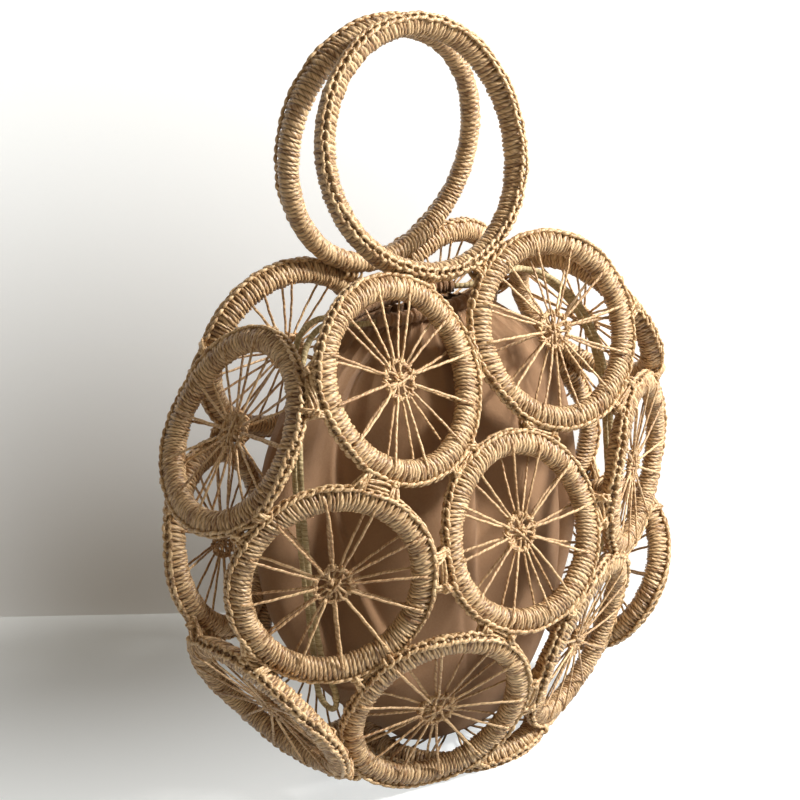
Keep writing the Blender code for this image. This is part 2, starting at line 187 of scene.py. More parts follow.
def cord_mesh(name, skin, finish, random, shade=0.0, closed=False):
    """A mesh of cords from the points on their skins, each cord with a tone of its own."""
    count, stations, sides, _ = skin.shape
    faces, rows, places, cords, caps = cord_faces(count, stations, sides, closed)
    middle = skin.mean(axis=2)
    steps = np.linalg.norm(np.diff(middle, axis=1, append=middle[:, :1]), axis=2)
    along = np.concatenate([np.zeros((count, 1)), np.cumsum(steps, axis=1)], axis=1)
    lay = np.stack([along[cords, rows], cords + places / sides], axis=-1)
    tone = np.broadcast_to(random.random(count)[:, None, None], (count, stations, sides))
    shade = np.broadcast_to(shade, (count, stations))[..., None] * np.ones(sides)
    return add_mesh(name, skin, faces, caps, lay, tone, shade, finish)


def node(tree, kind, **values):
    """A node with its settings, and its sockets set or linked by name or number."""
    made = tree.nodes.new(kind)
    sockets = values.pop("sockets", {})
    for key, value in values.items():
        setattr(made, key, value)
    for key, value in sockets.items():
        if isinstance(value, bpy.types.NodeSocket):
            tree.links.new(value, made.inputs[key])
        else:
            made.inputs[key].default_value = value
    return made


def math_node(tree, operation, *sockets):
    return node(tree, "ShaderNodeMath", operation=operation, sockets=dict(enumerate(sockets))).outputs[0]


def about_half(tree, socket, strength):
    """(the socket's value - 1/2) x strength."""
    return math_node(tree, "MULTIPLY", math_node(tree, "SUBTRACT", socket, 0.5), strength)


def mix_color(tree, share, first, second):
    sockets = {0: share, 6: first, 7: second}
    return node(tree, "ShaderNodeMix", data_type="RGBA", sockets=sockets).outputs[2]


def noise(tree, place, scale, detail):
    sockets = {"Vector": place, "Scale": scale, "Detail": detail}
    return node(tree, "ShaderNodeTexNoise", sockets=sockets).outputs[0]


def lay_place(tree):
    """The two numbers of the lay map: along a cord or cloth, and across it."""
    lay = node(tree, "ShaderNodeUVMap", uv_map="lay").outputs[0]
    split = node(tree, "ShaderNodeSeparateXYZ", sockets={0: lay})
    return split.outputs[0], split.outputs[1]


def new_group(name, inputs, outputs):
    """An empty shader node group with named sockets, and its input and output nodes."""
    tree = bpy.data.node_groups.new(name, "ShaderNodeTree")
    for title, kind, value in inputs:
        socket = tree.interface.new_socket(title, in_out="INPUT", socket_type=kind)
        socket.default_value = value
    for title, kind in outputs:
        tree.interface.new_socket(title, in_out="OUTPUT", socket_type=kind)
    return tree, tree.nodes.new("NodeGroupInput"), tree.nodes.new("NodeGroupOutput")


STREAK_LENGTH = 0.006
STREAKS_A_TURN = 4.5
STREAK_CONTRAST = 2.8
STREAK_RELIEF = 0.5
FLECK_LENGTH = 0.018
FLECK_CONTRAST = 1.6
PLY_CONTRAST = 0.4
PLY_RELIEF = 0.6
LEAST_LIGHT = 0.3


def twisted_fibre_group():
    """Fibres of a twisted cord, from the lay map: fine streaks that run slanting round it, and a
    ply mark once in every pitch. It gives the colour between a dark and a light one, and a height."""
    tree, given, result = new_group(
        "twisted fibre",
        [
            ("Dark", "NodeSocketColor", (0.2, 0.1, 0.05, 1)),
            ("Light", "NodeSocketColor", (0.6, 0.4, 0.2, 1)),
            ("Ply pitch", "NodeSocketFloat", 0.003),
            ("Fibre width", "NodeSocketFloat", 0.0003),
            ("Tone strength", "NodeSocketFloat", 0.5),
        ],
        [("Color", "NodeSocketColor"), ("Height", "NodeSocketFloat"), ("Fleck", "NodeSocketFloat")],
    )
    along, around = lay_place(tree)
    turns = math_node(tree, "DIVIDE", along, given.outputs["Ply pitch"])
    slant = math_node(tree, "ADD", turns, around)
    wave = math_node(tree, "SINE", math_node(tree, "MULTIPLY", slant, math.pi))
    mark = math_node(tree, "ABSOLUTE", wave)
    streak_place = node(tree, "ShaderNodeCombineXYZ", sockets={
        0: math_node(tree, "DIVIDE", along, STREAK_LENGTH),
        1: math_node(tree, "MULTIPLY", slant, STREAKS_A_TURN),
        2: around,
    })
    streaks = noise(tree, streak_place.outputs[0], 1.0, 3.0)
    fleck_place = node(tree, "ShaderNodeCombineXYZ", sockets={
        0: math_node(tree, "DIVIDE", along, FLECK_LENGTH),
        1: math_node(tree, "FLOOR", around),
    })
    flecks = noise(tree, fleck_place.outputs[0], 1.0, 2.0)
    tone = node(tree, "ShaderNodeAttribute", attribute_name="tone").outputs["Fac"]
    share = math_node(tree, "MULTIPLY_ADD", mark, PLY_CONTRAST, LEAST_LIGHT)
    for socket, contrast in (
        (tone, given.outputs["Tone strength"]), (flecks, FLECK_CONTRAST), (streaks, STREAK_CONTRAST),
    ):
        share = math_node(tree, "ADD", share, about_half(tree, socket, contrast))
    share = node(tree, "ShaderNodeClamp", sockets={0: share}).outputs[0]
    color = mix_color(tree, share, given.outputs["Dark"], given.outputs["Light"])
    ply_height = math_node(tree, "MULTIPLY", mark, PLY_RELIEF)
    height = math_node(tree, "MULTIPLY_ADD", streaks, STREAK_RELIEF, ply_height)
    height = math_node(tree, "MULTIPLY", height, given.outputs["Fibre width"])
    for title, socket in (("Color", color), ("Height", height), ("Fleck", flecks)):
        tree.links.new(socket, result.inputs[title])
    return tree


TWISTED_FIBRE = twisted_fibre_group()


# Painted shade: the shade attribute and, on a winding, the line where two turns meet darken a cord
# towards its gap colour.
PAINTED_SHADE_POWER = 1.4
PAINTED_SHADE_SHARE = 0.9
TURN_SHADE_POWER = 3.2
TURN_SHADE_SHARE = 0.86
FLECK_ROUGHNESS = 0.2


def new_material(name):
    material = bpy.data.materials.new(name)
    material.use_nodes = True
    return material, material.node_tree, material.node_tree.nodes["Principled BSDF"]


def add_bump(tree, shader, height, strength):
    sockets = {"Height": height, "Distance": 1.0, "Strength": strength}
    bump = node(tree, "ShaderNodeBump", sockets=sockets)
    tree.links.new(bump.outputs[0], shader.inputs["Normal"])


def cord_material(name, dark, light, gap, ply_pitch, fibre_width, tone_strength, roughness, wound=False):
    """Twisted cord with painted shade. gap is the colour that the shade attribute paints deep between
    its neighbours. A close winding also has painted shade along the line where two of its turns meet."""
    material, tree, shader = new_material(name)
    fibre = node(tree, "ShaderNodeGroup", node_tree=TWISTED_FIBRE, sockets={
        "Dark": (*dark, 1), "Light": (*light, 1), "Ply pitch": ply_pitch,
        "Fibre width": fibre_width, "Tone strength": tone_strength,
    })
    # painted shade: deep between neighbours and where turns meet, the colour goes towards gap
    shade = node(tree, "ShaderNodeAttribute", attribute_name="shade").outputs["Fac"]
    depth = math_node(tree, "MULTIPLY", math_node(tree, "POWER", shade, PAINTED_SHADE_POWER), PAINTED_SHADE_SHARE)
    if wound:
        within = math_node(tree, "FRACT", lay_place(tree)[1])
        offset = math_node(tree, "ABSOLUTE", about_half(tree, within, 2))
        line = math_node(tree, "POWER", offset, TURN_SHADE_POWER)
        depth = math_node(tree, "MAXIMUM", depth, math_node(tree, "MULTIPLY", line, TURN_SHADE_SHARE))
    color = mix_color(tree, depth, fibre.outputs["Color"], (*gap, 1))
    tree.links.new(color, shader.inputs["Base Color"])
    least = roughness - FLECK_ROUGHNESS / 2
    rough = math_node(tree, "MULTIPLY_ADD", fibre.outputs["Fleck"], FLECK_ROUGHNESS, least)
    tree.links.new(rough, shader.inputs["Roughness"])
    add_bump(tree, shader, fibre.outputs["Height"], 1.0)
    return material


drawstring_finish = cord_material(
    "drawstring", dark=(0.30, 0.225, 0.10), light=(0.62, 0.50, 0.28), gap=(0.05, 0.035, 0.01),
    ply_pitch=0.0024, fibre_width=0.0004, tone_strength=0.3, roughness=0.8,
)
for name in ("front_drawstring", "back_drawstring"):
    for piece_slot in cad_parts[name].material_slots:
        piece_slot.material = drawstring_finish

random = np.random.default_rng(CORD_SEED)
for side_name, sign in (("left", -1), ("right", 1)):
    half_route = [LOOP_START, LOOP_CLEAR, *LOOP_ROUTE]
    down = [(sign * across, -half - forward, height) for across, half, forward, height in half_route]
    up = [(sign * across, half - forward, height) for across, half, forward, height in half_route[-2::-1]]
    path = smooth_route(down + up, CORD_STATION)
    rows = np.arange(len(path))[:, None]
    turn = 2 * math.pi * np.arange(CORD_SIDES) / CORD_SIDES
    plies = np.cos(CORD_PLIES * (turn - 2 * math.pi * rows * CORD_STATION / CORD_PLY_PITCH / CORD_PLIES))
    bulge = 1 - CORD_PLY_RISE * (1 - plies[None, ..., None]) / 2
    skin = strands(path[None], CORD_UP, CORD_DIAMETER / 2, CORD_SIDES)
    skin = path[None, :, None] + (skin - path[None, :, None]) * bulge
    loop = cord_mesh(f"{side_name}_drawstring", skin, drawstring_finish, random)
    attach(loop, "root")
    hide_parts(f"{side_name}_drawstring_loop")


# Wheel rims. Each is a hidden core ring covered closely with one long straw-coloured paper cord,
# which is crocheted over it: its turns lie side by side like thread on a spool, and two by two
# they are lifted over a ridge round the outside, where the stitches' tops are.
HOOP_RADIUS = 0.0435
WINDING_RADIUS = 0.0052
CORD_RISE = 0.0008
RIDGE_HEIGHT = 0.0019
RIDGE_WIDTH_DEG = 38
HOLE_DEPTH = 0.0017
HOLE_HALF_TURNS = 0.62
HOLE_SIDE_DEG = 27
HOLE_WIDTH_DEG = 15
# UNDER_STITCH_DEG wide and UNDER_STITCH_SHADE strong: painted shade on the winding under the chain edge
UNDER_STITCH_DEG = 13
UNDER_STITCH_SHADE = 0.85
HOOP_LEAN_DEG = 15
LEAN_WANDER_DEG = 13
HOOP_TURNS = 144
TURN_STEPS = 6
SECTION_SHARES = np.array([0, 16, 32, 50, 72, 100, 138, 180, 222, 260, 288, 310, 328, 344]) / 360
TURN_WANDER_SHARE = 0.3
WANDER_POINTS = 4
RISE_WANDER_SHARE = 0.5
RISE_POINTS = 3
TONE_POINTS = 2
SLANT_TURNS = 0.7
SLANT_WAVES = 3
GROOVE_SHADE_POWER = 1.5
RIM_WANDER = 0.0004
RIM_TILT_SHARE = 1.5
HOOP_SEED = 100


def noise_along(random, turns, per_turn):
    """A random value from -1 to 1 along the winding: straight between per_turn points a turn."""
    points = random.uniform(-1, 1, turns * per_turn)
    points = np.append(points, points[0])

    def at(place):
        return np.interp(np.mod(place, turns) * per_turn, np.arange(len(points)), points)

    return at


def ridge_lean(lean_deg, wander_deg, random, swing_deg=0, swing_from_deg=0):
    """The section angle at which the ridge lies at an angle round the ring, in radians from
    straight outwards towards the bag's outside:
    lean + swing cos(a - from) + wander (cos(2 a + p) + cos(5 a + q)) / 2."""
    first, second = random.uniform(0, 2 * math.pi, 2)

    def at(angle):
        wander = (np.cos(2 * angle + first) + np.cos(5 * angle + second)) / 2
        swing = swing_deg * np.cos(angle - math.radians(swing_from_deg))
        return np.radians(lean_deg + swing + wander_deg * wander)

    return at


def ridge_share(offset, width_deg=RIDGE_WIDTH_DEG):
    """How much of the ridge's height stands at a section angle off its top: exp(-(a / width)^2)."""
    offset = np.mod(offset + math.pi, 2 * math.pi) - math.pi
    return np.exp(-((offset / math.radians(width_deg)) ** 2))


def rim_wave(angle, phases):
    """How far hand work leaves the rim off a true ring at an angle: outwards, and out of plane."""
    outwards = RIM_WANDER * (np.cos(2 * angle + phases[0]) + np.cos(3 * angle + phases[1]))
    return outwards, RIM_WANDER * RIM_TILT_SHARE * np.cos(2 * angle + phases[2])


def round_axis(reach, angle, height):
    """Points at a distance from the Z axis, at an angle round it and at a height."""
    level = reach * np.cos(angle), reach * np.sin(angle)
    return np.stack(np.broadcast_arrays(*level, height), axis=-1)


def wound_ring(radius, turns, lean, phases, random):
    """Skin of a ring wound with one cord, [row, place round the section], round the Z axis, and
    its painted shade: darker the deeper each point lies in its groove, and under the chain.

    Row i is at i / TURN_STEPS turns, and each place adds its share of a turn, so that columns
    follow the helix, and lags SLANT_TURNS cos(SLANT_WAVES a + p) (1 - cos b) at b round the
    section, so that the turns slant here one way and there the other. The section is a circle
    with the ridge on it, and each turn bulges from it as a half ellipse:
    height = CORD_RISE sqrt(1 - (2 x - 1)^2) at the share x of the turn's width. On both flanks
    of the ridge every other groove opens to a hole beside its stitch:
    depth = HOLE_DEPTH flank (1 - d / HOLE_HALF_TURNS) at d turns from it.
    """
    rows = np.arange(turns * TURN_STEPS)[:, None]
    share = (rows % TURN_STEPS) / TURN_STEPS
    turn = rows // TURN_STEPS
    helix = turn + SECTION_SHARES
    wander = noise_along(random, turns, WANDER_POINTS)
    lift = noise_along(random, turns, RISE_POINTS)
    around = -2 * math.pi * SECTION_SHARES
    slant_wave = np.cos(2 * math.pi * SLANT_WAVES * (helix + share) / turns + phases[0])
    slant = SLANT_TURNS * slant_wave * (1 - np.cos(around))
    place = helix + share + TURN_WANDER_SHARE * ((1 - share) * wander(helix) + share * wander(helix + 1))
    angle = 2 * math.pi * (place + slant) / turns
    offset = around - lean(angle)
    ridge = ridge_share(offset)
    sides = np.radians([-HOLE_SIDE_DEG, HOLE_SIDE_DEG])
    flank = sum(ridge_share(offset - side, HOLE_WIDTH_DEG) for side in sides)
    passed = turn + (SECTION_SHARES > 0.5)
    from_hole = np.where(passed % 2 == 0, share, 1 - share)
    hole = flank * np.clip(1 - from_hole / HOLE_HALF_TURNS, 0, 1)
    bulge = np.sqrt(1 - (2 * share - 1) ** 2) * (1 + RISE_WANDER_SHARE * lift(helix))
    sink = CORD_RISE * (1 - bulge) + HOLE_DEPTH * hole
    section = WINDING_RADIUS + RIDGE_HEIGHT * ridge - sink
    outwards, sideways = rim_wave(angle, phases)
    reach = radius + outwards + section * np.cos(around)
    height = sideways + section * np.sin(around)
    # painted shade: darker the deeper a point sinks in its groove or hole, and under the chain
    shade = np.clip(sink / (2 * CORD_RISE), 0, 1) ** GROOVE_SHADE_POWER
    shade = np.maximum(shade, UNDER_STITCH_SHADE * ridge_share(offset, UNDER_STITCH_DEG))
    return round_axis(reach, angle, height), helix, shade


def wound_ring_mesh(name, radius, turns, place, lean, phases, random, finish):
    """The wound ring as a mesh: at the section's seam a column joins the one a turn further on."""
    skin, helix, shade = wound_ring(radius, turns, lean, phases, random)
    rows, columns = shade.shape
    row, column = np.meshgrid(np.arange(rows), np.arange(columns), indexing="ij")
    row_corner = np.stack([row, row, row + 1, row + 1], axis=-1).reshape(-1, 4)
    column_corner = np.stack([column, column + 1, column + 1, column], axis=-1).reshape(-1, 4)
    passed = column_corner // columns
    faces = ((row_corner + passed * TURN_STEPS) % rows) * columns + column_corner % columns
    turn = row.reshape(-1, 1) // TURN_STEPS
    girth = 2 * math.pi * WINDING_RADIUS
    along = (turn + np.append(SECTION_SHARES, 1)[column_corner]) * girth
    across = row_corner / TURN_STEPS
    tone = 0.5 + 0.5 * noise_along(random, turns, TONE_POINTS)(helix)
    lay = np.stack([along, across], axis=-1)
    return add_mesh(name, placed(skin, place), faces, np.zeros((0, 4), int), lay, tone, shade, finish)


def placed(skin, place):
    return skin @ place[:3, :3].T + place[:3, 3]


def ring_place(name):
    """Middle and axes of a flat round CAD node: the middle of its corners, and the direction in
    which they spread least, turned outwards from the bag, as the third axis."""
    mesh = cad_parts[name].data
    corners = np.zeros(len(mesh.vertices) * 3, np.float32)
    mesh.vertices.foreach_get("co", corners)
    corners = np.unique(corners.reshape(-1, 3).round(6), axis=0).astype(float)
    middle = (corners.max(axis=0) + corners.min(axis=0)) / 2
    spread = np.linalg.svd(corners - middle, full_matrices=False)[2]
    normal = spread[2]
    outward = middle - np.array([0, 0, CENTER_WHEEL_HEIGHT])
    normal = normal * (1 if normal @ outward > 0 else -1)
    level = np.array([1.0, 0, 0]) if abs(normal[2]) > 0.99 else unit(np.cross([0, 0, 1.0], normal))
    place = np.eye(4)
    place[:3, 0] = level
    place[:3, 1] = np.cross(normal, level)
    place[:3, 2] = normal
    place[:3, 3] = middle
    return place


wound_finish = cord_material(
    "wound paper cord", dark=(0.27, 0.133, 0.050), light=(0.83, 0.590, 0.325),
    gap=(0.055, 0.020, 0.005), ply_pitch=0.0042, fibre_width=0.00034, tone_strength=0.7,
    roughness=0.40, wound=True,
)
wheel_names = sorted(name[: -len("_hoop")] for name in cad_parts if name.endswith("_hoop"))
wheels = {name: ring_place(f"{name}_spokes") for name in wheel_names}
leans, waves = {}, {}
for number, (name, place) in enumerate(wheels.items()):
    random = np.random.default_rng(HOOP_SEED + number)
    leans[name] = ridge_lean(HOOP_LEAN_DEG, LEAN_WANDER_DEG, random)
    waves[name] = random.uniform(0, 2 * math.pi, 3)
    rim = wound_ring_mesh(
        f"{name}_winding", HOOP_RADIUS, HOOP_TURNS, place, leans[name], waves[name], random, wound_finish
    )
    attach(rim, "root")
    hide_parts(f"{name}_hoop")


# Chain edge. The tops of the crochet stitches make a chain along the ridge of every rim: each
# stitch is a loop of two bowed legs that comes up through the loop before it.
STITCH_STATIONS = 8
STITCH_SIDES = 6
STITCH_RADIUS = 0.00096
STITCH_SPREAD = 0.00185
STITCH_OVERLAP_SHARE = 0.35
STITCH_SEAT = -0.0002
STITCH_FLATNESS = 0.9
STITCH_WANDER_SHARE = 0.08
SPREAD_WANDER_SHARE = 0.2
LIFT_WANDER_SHARE = 0.25
ROLL_WANDER = 0.05
THICKNESS_WANDER_SHARE = 0.1
EDGE_SEED = 200


def chain_edge(radius, turns, lean, phases, random):
    """Skin of the chain stitches round a ring, one for two turns of its winding, and their painted shade.
    A leg runs from t = 0 to 1 over 1 + overlap of a stitch. It lies to its side by
    spread (0.2 + 0.8 sin(pi t)), and above the ridge by its own radius times
    0.9 sin(pi (0.15 + 0.75 t)) + 0.3 - 0.9 t, so that its end dips under the next stitch. Its
    thickness is radius (0.75 + 0.3 sin(pi t)), and its painted shade, where it dives under its
    neighbours, is 1.3 t - 0.75 towards the end plus (1 - t)^3 / 4 at the start."""
    stitches = turns // 2
    t = np.linspace(0, 1, STITCH_STATIONS)[None, :]
    number = np.repeat(np.arange(stitches), 2)[:, None]
    side = np.tile([-1, 1], stitches)[:, None]
    jitter = random.uniform(-1, 1, (4, 2 * stitches, 1))
    start = number + STITCH_WANDER_SHARE * jitter[0]
    angle = 2 * math.pi * (start + t * (1 + STITCH_OVERLAP_SHARE)) / stitches
    spread = STITCH_SPREAD * (1 + SPREAD_WANDER_SHARE * jitter[1])
    across = side * spread * (0.2 + 0.8 * np.sin(math.pi * t))
    lift = 0.9 * np.sin(math.pi * (0.15 + 0.75 * t)) + 0.3 - 0.9 * t + LIFT_WANDER_SHARE * jitter[2]
    top = WINDING_RADIUS + RIDGE_HEIGHT
    around = lean(angle) + across / top + ROLL_WANDER * jitter[3]
    section = WINDING_RADIUS + RIDGE_HEIGHT * ridge_share(across / top)
    section = section + STITCH_SEAT + STITCH_RADIUS * lift
    outwards, sideways = rim_wave(angle, phases)
    reach = radius + outwards + section * np.cos(around)
    path = round_axis(reach, angle, sideways + section * np.sin(around))
    rise = round_axis(np.cos(around), angle, np.sin(around))
    thickness = STITCH_RADIUS * (0.75 + 0.3 * np.sin(math.pi * t))
    thickness = thickness * (1 + THICKNESS_WANDER_SHARE * jitter[2])
    # painted shade where a leg dives under the next stitch, and faintly where it comes up
    shade = np.clip(1.3 * t - 0.75, 0, 1) + 0.25 * (1 - t) ** 3
    skin = strands(path, rise, thickness, STITCH_SIDES, STITCH_FLATNESS)
    return skin, np.broadcast_to(shade, path.shape[:2])


stitch_finish = cord_material(
    "stitched paper cord", dark=(0.31, 0.163, 0.062), light=(0.82, 0.592, 0.330),
    gap=(0.045, 0.016, 0.004), ply_pitch=0.0032, fibre_width=0.00024, tone_strength=0.6,
    roughness=0.42,
)
for number, (name, place) in enumerate(wheels.items()):
    random = np.random.default_rng(EDGE_SEED + number)
    skin, shade = chain_edge(HOOP_RADIUS, HOOP_TURNS, leans[name], waves[name], random)
    edge = cord_mesh(f"{name}_edge", placed(skin, place), stitch_finish, random, shade)
    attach(edge, "root")


# Spokes and hubs. Thin twisted cord is sewn through the winding on both faces and drawn to the
# middle, where it passes over a crocheted ring and is knotted into a small openwork rosette.
SPOKES = 12
SPOKE_RADIUS = 0.00072
SPOKE_STATIONS = 20
SPOKE_SIDES = 6
SPOKE_FLATNESS = 0.8
SPOKE_STEP_WANDER = 0.09
SPOKE_WANDER_DEG = 4
SPOKE_START_SHARES = (0.84, 0.96)
SPOKE_START_HEIGHT = 0.0002
SPOKE_PASS_SHARES = (0.8, 1.1)
SPOKE_DIVE_DEG = (38, 85)
SPOKE_SINK = np.array([0, 0, 0, 0.0004, 0.0014])
SPOKE_BOW = 0.0006
SPOKE_RIPPLE = 0.00012
SPOKE_RIPPLES = 4
SPOKE_SEAT = WINDING_RADIUS + SPOKE_RADIUS * 0.5
HUB_RADIUS = 0.0089
HUB_HALF_DEPTH = 0.0010
HUB_CORD_RADIUS = 0.00068
HUB_STATIONS = 60
HUB_OVAL_SHARE = 0.03
# shares of the hub's radius and of its half depth, with the swing, waves and shift of each round
HUB_ROUNDS = (
    (1.0, 0.055, 0.6, 12, 0), (1.0, 0.055, 0.6, 12, math.pi), (0.92, 0.04, 0.7, 7, 1),
    (0.33, 0.06, 1.0, 4, 0), (0.25, 0.08, 1.1, 3, 2), (0.14, 0.05, 1.2, 2, 4),
)
HUB_CORD_STATIONS = 10
HUB_LINKS = 16
LINK_STEP_WANDER = 0.3
LINK_TURN = 0.5
LINK_SHARES = (0.7, 0.92)
LINK_DEPTH_SHARES = (0.4, 1.3)
CROSS_TURNS = (2.6, 3.6)
CROSS_SHARES = (0.8, 1.0)
# painted shade, the same all along the rosette's cords inside the hub
ROSETTE_SHADE = 0.25
HUB_KNOTS = 12
HUB_KNOT_STEP_WANDER = 0.25
HUB_KNOT_SIZES = (1.5, 2.3)
HUB_KNOT_SHARES = (0.96, 1.05)
HUB_KNOT_SLANT = 1.2
KNOT_STATIONS = 10
WEB_SEED = 300


def spoke_paths(random):
    """Middle lines of the spokes, [strand, station], one on each face at every twelfth of a turn.
    A spoke starts inside the hub's ring, passes over it, runs straight to where it touches the
    winding's face, follows the section's circle outwards over it and dives in between two turns.
    It is bowed sideways by SPOKE_BOW sin(pi t), with a fine ripple on that."""
    paths = []
    for face in (1, -1):
        for spoke in range(SPOKES):
            angle = 2 * math.pi * (spoke + SPOKE_STEP_WANDER * random.uniform(-1, 1)) / SPOKES
            rim_angle = angle + math.radians(SPOKE_WANDER_DEG) * random.uniform(-1, 1)
            ring_height = (HUB_CORD_RADIUS + SPOKE_RADIUS) * random.uniform(*SPOKE_PASS_SHARES)
            lean = math.atan2(SPOKE_SEAT - HUB_HALF_DEPTH, HOOP_RADIUS - HUB_RADIUS)
            dive = math.radians(random.uniform(*SPOKE_DIVE_DEG))
            section = np.linspace(math.pi / 2 + lean, dive, len(SPOKE_SINK))
            seat = SPOKE_SEAT - SPOKE_SINK
            inner = HUB_RADIUS * random.uniform(*SPOKE_START_SHARES)
            reach_stops = np.append([inner, HUB_RADIUS], HOOP_RADIUS + seat * np.cos(section))
            height_stops = np.append([SPOKE_START_HEIGHT, ring_height], seat * np.sin(section))
            height_stops = face * height_stops
            steps = np.hypot(np.diff(reach_stops), np.diff(height_stops))
            lengths = np.append(0, np.cumsum(steps))
            share = np.linspace(0, 1, SPOKE_STATIONS)
            reach = np.interp(share * lengths[-1], lengths, reach_stops)
            height = np.interp(share * lengths[-1], lengths, height_stops)
            turn = angle + (rim_angle - angle) * share
            bow = SPOKE_BOW * random.uniform(-1, 1) * np.sin(math.pi * share)
            ripple = SPOKE_RIPPLE * np.sin(2 * math.pi * (SPOKE_RIPPLES * share + random.random()))
            sideways = round_axis(bow + ripple, turn + math.pi / 2, 0)
            paths.append(round_axis(reach, turn, height) + sideways)
    return np.array(paths)


def hub_rounds(random):
    """Middle lines of the hub's closed rounds: r = radius (share + swing cos(n a + p) +
    oval cos(2 a + q)) and z = depth sin(n a + p). The two outer ones twine round each other and
    make its ring."""
    angle = 2 * math.pi * np.arange(HUB_STATIONS) / HUB_STATIONS
    phase = random.uniform(0, 2 * math.pi)
    oval = HUB_OVAL_SHARE * np.cos(2 * angle + phase * 3)
    rounds = []
    for share, swing, depth, waves_round, shift in HUB_ROUNDS:
        turned = waves_round * angle + phase + shift
        reach = HUB_RADIUS * (share + swing * np.cos(turned) + oval)
        rounds.append(round_axis(reach, angle, HUB_HALF_DEPTH * depth * np.sin(turned)))
    return np.array(rounds)


def hub_links(random):
    """Cords inside the hub's ring. Links run from the ring to the knot in its middle, bowed to one
    face and a little turned, and two longer cords cross over that knot."""
    share = np.linspace(0, 1, HUB_CORD_STATIONS)
    bow = np.sin(math.pi * share)
    paths = []
    for link in range(HUB_LINKS):
        step = link + random.uniform(-LINK_STEP_WANDER, LINK_STEP_WANDER)
        angle = 2 * math.pi * step / HUB_LINKS + random.uniform(-LINK_TURN, LINK_TURN) * share
        reach = HUB_RADIUS * (1 - share * random.uniform(*LINK_SHARES))
        height = random.choice([-1, 1]) * HUB_HALF_DEPTH * bow * random.uniform(*LINK_DEPTH_SHARES)
        paths.append(round_axis(reach, angle, height))
    for face in (1, -1):
        start = random.uniform(0, 2 * math.pi)
        end = start + random.uniform(*CROSS_TURNS)
        reach = HUB_RADIUS * random.uniform(*CROSS_SHARES)
        height = face * HUB_HALF_DEPTH * (0.4 + 1.2 * bow)
        first, last = (round_axis(reach, angle, 0) for angle in (start, end))
        path = first * (1 - share[:, None]) + last * share[:, None]
        path[:, 2] = height
        paths.append(path)
    return np.array(paths)


def hub_knots(random):
    """Small closed loops round the hub's ring, where the spokes are knotted to it: circles in the
    plane of the way out and the normal, turned a little round both."""
    t = 2 * math.pi * np.arange(KNOT_STATIONS) / KNOT_STATIONS
    paths = []
    for knot in range(2 * HUB_KNOTS):
        step = knot // 2 + random.uniform(-HUB_KNOT_STEP_WANDER, HUB_KNOT_STEP_WANDER)
        angle = 2 * math.pi * step / HUB_KNOTS
        size = HUB_CORD_RADIUS * random.uniform(*HUB_KNOT_SIZES)
        reach = HUB_RADIUS * random.uniform(*HUB_KNOT_SHARES) + size * np.cos(t)
        slant = random.uniform(-HUB_KNOT_SLANT, HUB_KNOT_SLANT)
        along = slant * size * np.sin(t + random.uniform(0, 6))
        sideways = round_axis(along, angle + math.pi / 2, 0)
        paths.append(round_axis(reach, angle, size * np.sin(t)) + sideways)
    return np.array(paths)


spoke_finish = cord_material(
    "spoke cord", dark=(0.31, 0.16, 0.065), light=(0.76, 0.53, 0.285), gap=(0.06, 0.024, 0.008),
    ply_pitch=0.0034, fibre_width=0.00034, tone_strength=0.6, roughness=0.46,
)
# part, middle lines, radius and flatness of its cords, painted shade, and whether they are closed
WHEEL_CORDS = (
    ("web", spoke_paths, SPOKE_RADIUS, SPOKE_FLATNESS, 0.0, False),
    ("rosette", hub_links, HUB_CORD_RADIUS, 1.0, ROSETTE_SHADE, False),
    ("hub", hub_rounds, HUB_CORD_RADIUS, 1.0, 0.0, True),
    ("hub_knots", hub_knots, HUB_CORD_RADIUS * 0.8, 1.0, 0.0, True),
)
for number, (name, place) in enumerate(wheels.items()):
    random = np.random.default_rng(WEB_SEED + number)
    for part, paths, radius, flatness, shade, closed in WHEEL_CORDS:
        middles = placed(paths(random), place)
        skin = strands(middles, place[:3, 2], radius, SPOKE_SIDES, flatness, closed)
        piece = cord_mesh(f"{name}_{part}", skin, spoke_finish, random, shade, closed)
        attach(piece, "root")
        if part == "web":
            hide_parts(f"{name}_spokes")


# Lacing. Where two wheels meet, cord is sewn through both chain edges: at two places it is wrapped
# round them and knotted, and a few loose strands of it run along the gap from knot to knot.
LACING_REACH = 0.0105
KNOT_OFFSET = 0.0098
WRAP_TURNS = 4
WRAP_PITCH = 0.0011
WRAP_PITCH_SHARES = (0.7, 1.3)
WRAP_SLANT = 0.45
WRAP_HALF_DEPTH = 0.0028
WRAP_DEPTH_SHARES = (0.85, 1.15)
WRAP_OVERHANG = 0.0026
WRAP_WIDTH_SHARES = (0.8, 1.1)
LACING_RADIUS = 0.00072
LOOP_STATIONS = 16
KNOT_TURNS = 4
KNOT_RADIUS = 0.0024
KNOT_SIZE_SHARES = (0.7, 1.1)
KNOT_OVAL_SHARE = 0.7
KNOT_LIFT_SHARES = (0.7, 1.2)
KNOT_SHIFT_SHARE = 0.4
RUN_STRANDS = 6
RUN_SPREAD = 0.0016
RUN_WANDER = 0.4
RUN_TWIST = 2.2
RUN_LIFT = 0.0021
RUN_LIFT_SHARES = (0.6, 1.2)
RUN_UP = (0.3, 0.2, 1.0)
SEAM_LENGTH_SHARES = (0.8, 1.15)
EDGE_RADIUS = WINDING_RADIUS + RIDGE_HEIGHT
RIM_SAMPLES = 720
LACING_SEED = 400


def rim_points(place, radius, angle):
    return placed(round_axis(radius, angle, 0), place)


def nearest_on_rim(place, radius, points):
    """The points of a ring nearest to others: its middle plus radius times the direction to them
    within its plane."""
    way = points - place[:3, 3]
    way = way - (way @ place[:3, 2])[..., None] * place[:3, 2]
    return place[:3, 3] + radius * unit(way)


